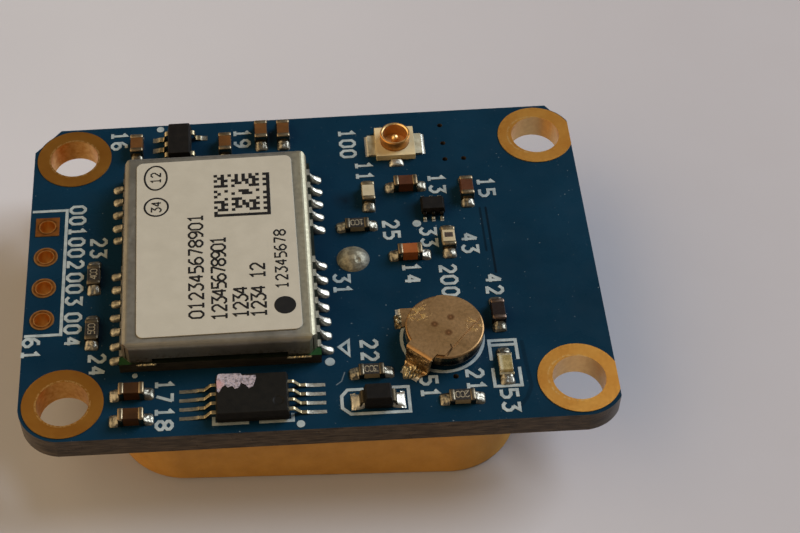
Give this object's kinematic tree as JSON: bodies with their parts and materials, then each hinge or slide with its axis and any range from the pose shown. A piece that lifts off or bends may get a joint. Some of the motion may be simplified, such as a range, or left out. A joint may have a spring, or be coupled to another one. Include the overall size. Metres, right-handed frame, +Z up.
{
  "type": "gps module",
  "caption": "Small blue circuit board with a shielded satellite receiver, backup cell, coaxial socket and a square ceramic antenna taped underneath; corner holes for screws.",
  "frame": {"origin": "on the antenna's lower face, under the middle of the circuit board", "axes": "+X along the board's long side, away from the pin header holes; +Y away from the memory chip, towards the coaxial connector; +Z up through the board"},
  "size_m": [0.0362, 0.0259, 0.0084],
  "materials": {
    "solder_mask": "satin dark blue lacquer over glass-fibre laminate",
    "gold_plating": "thin gold plating, slightly worn",
    "antenna_ceramic": "unglazed ochre dielectric ceramic",
    "silver_electrode": "matt fired silver",
    "adhesive_tape": "pale double-sided foam tape",
    "tinned_metal": "tin plating, slightly dull",
    "solder": "bright tin solder with a soft sheen",
    "receiver_laminate": "green laminate with routed edges",
    "shield_sheet": "tinned steel sheet, matt",
    "label_film": "matt white label",
    "black_moulding": "black moulded resin",
    "brown_ceramic": "fired brown ceramic",
    "resistor_glaze": "black glaze over white ceramic",
    "white_ceramic": "white ceramic",
    "dark_ferrite": "dark ferrite ceramic",
    "lens_resin": "clear yellowish cast resin",
    "connector_insulator": "cream moulded plastic",
    "cell_steel": "bright steel and nickel with a warm tone, scratched"
  },
  "bodies": {
    "root": {"circuit_board": "solder_mask", "mounting_eyelets": "gold_plating", "header_eyelets": "gold_plating", "antenna_ceramic": "antenna_ceramic", "antenna_patch": "silver_electrode", "antenna_ground": "silver_electrode", "antenna_tape": "adhesive_tape", "antenna_feed_pin": "tinned_metal", "antenna_feed_solder": "solder", "receiver_board": "receiver_laminate", "receiver_solder": "solder", "receiver_shield": "shield_sheet", "receiver_label": "label_film", "receiver_chip": "black_moulding", "receiver_oscillator": "tinned_metal", "receiver_filter": "white_ceramic", "capacitor_end_caps": "tinned_metal", "resistor_end_caps": "tinned_metal", "inductor_end_caps": "tinned_metal", "chip_solder": "solder", "led_base": "white_ceramic", "led_terminals": "gold_plating", "led_lens": "lens_resin", "memory_body": "black_moulding", "memory_leads": "tinned_metal", "regulator_body": "black_moulding", "regulator_leads": "tinned_metal", "amplifier_body": "black_moulding", "amplifier_leads": "tinned_metal", "diode_body": "black_moulding", "diode_terminals": "tinned_metal", "lead_solder": "solder", "coax_base": "connector_insulator", "coax_shell": "gold_plating", "coax_contact": "gold_plating", "battery_cell": "cell_steel", "battery_upper_tab": "cell_steel", "battery_lower_tab": "cell_steel", "capacitor_1": "brown_ceramic", "capacitor_2": "brown_ceramic", "capacitor_3": "brown_ceramic", "capacitor_4": "brown_ceramic", "capacitor_5": "brown_ceramic", "capacitor_6": "brown_ceramic", "capacitor_7": "brown_ceramic", "capacitor_8": "brown_ceramic", "capacitor_9": "brown_ceramic", "resistor_1": "resistor_glaze", "resistor_2": "resistor_glaze", "resistor_3": "resistor_glaze", "resistor_4": "resistor_glaze", "resistor_5": "resistor_glaze", "inductor_1": "white_ceramic", "inductor_2": "white_ceramic", "inductor_3": "dark_ferrite"}
  },
  "joints": []
}
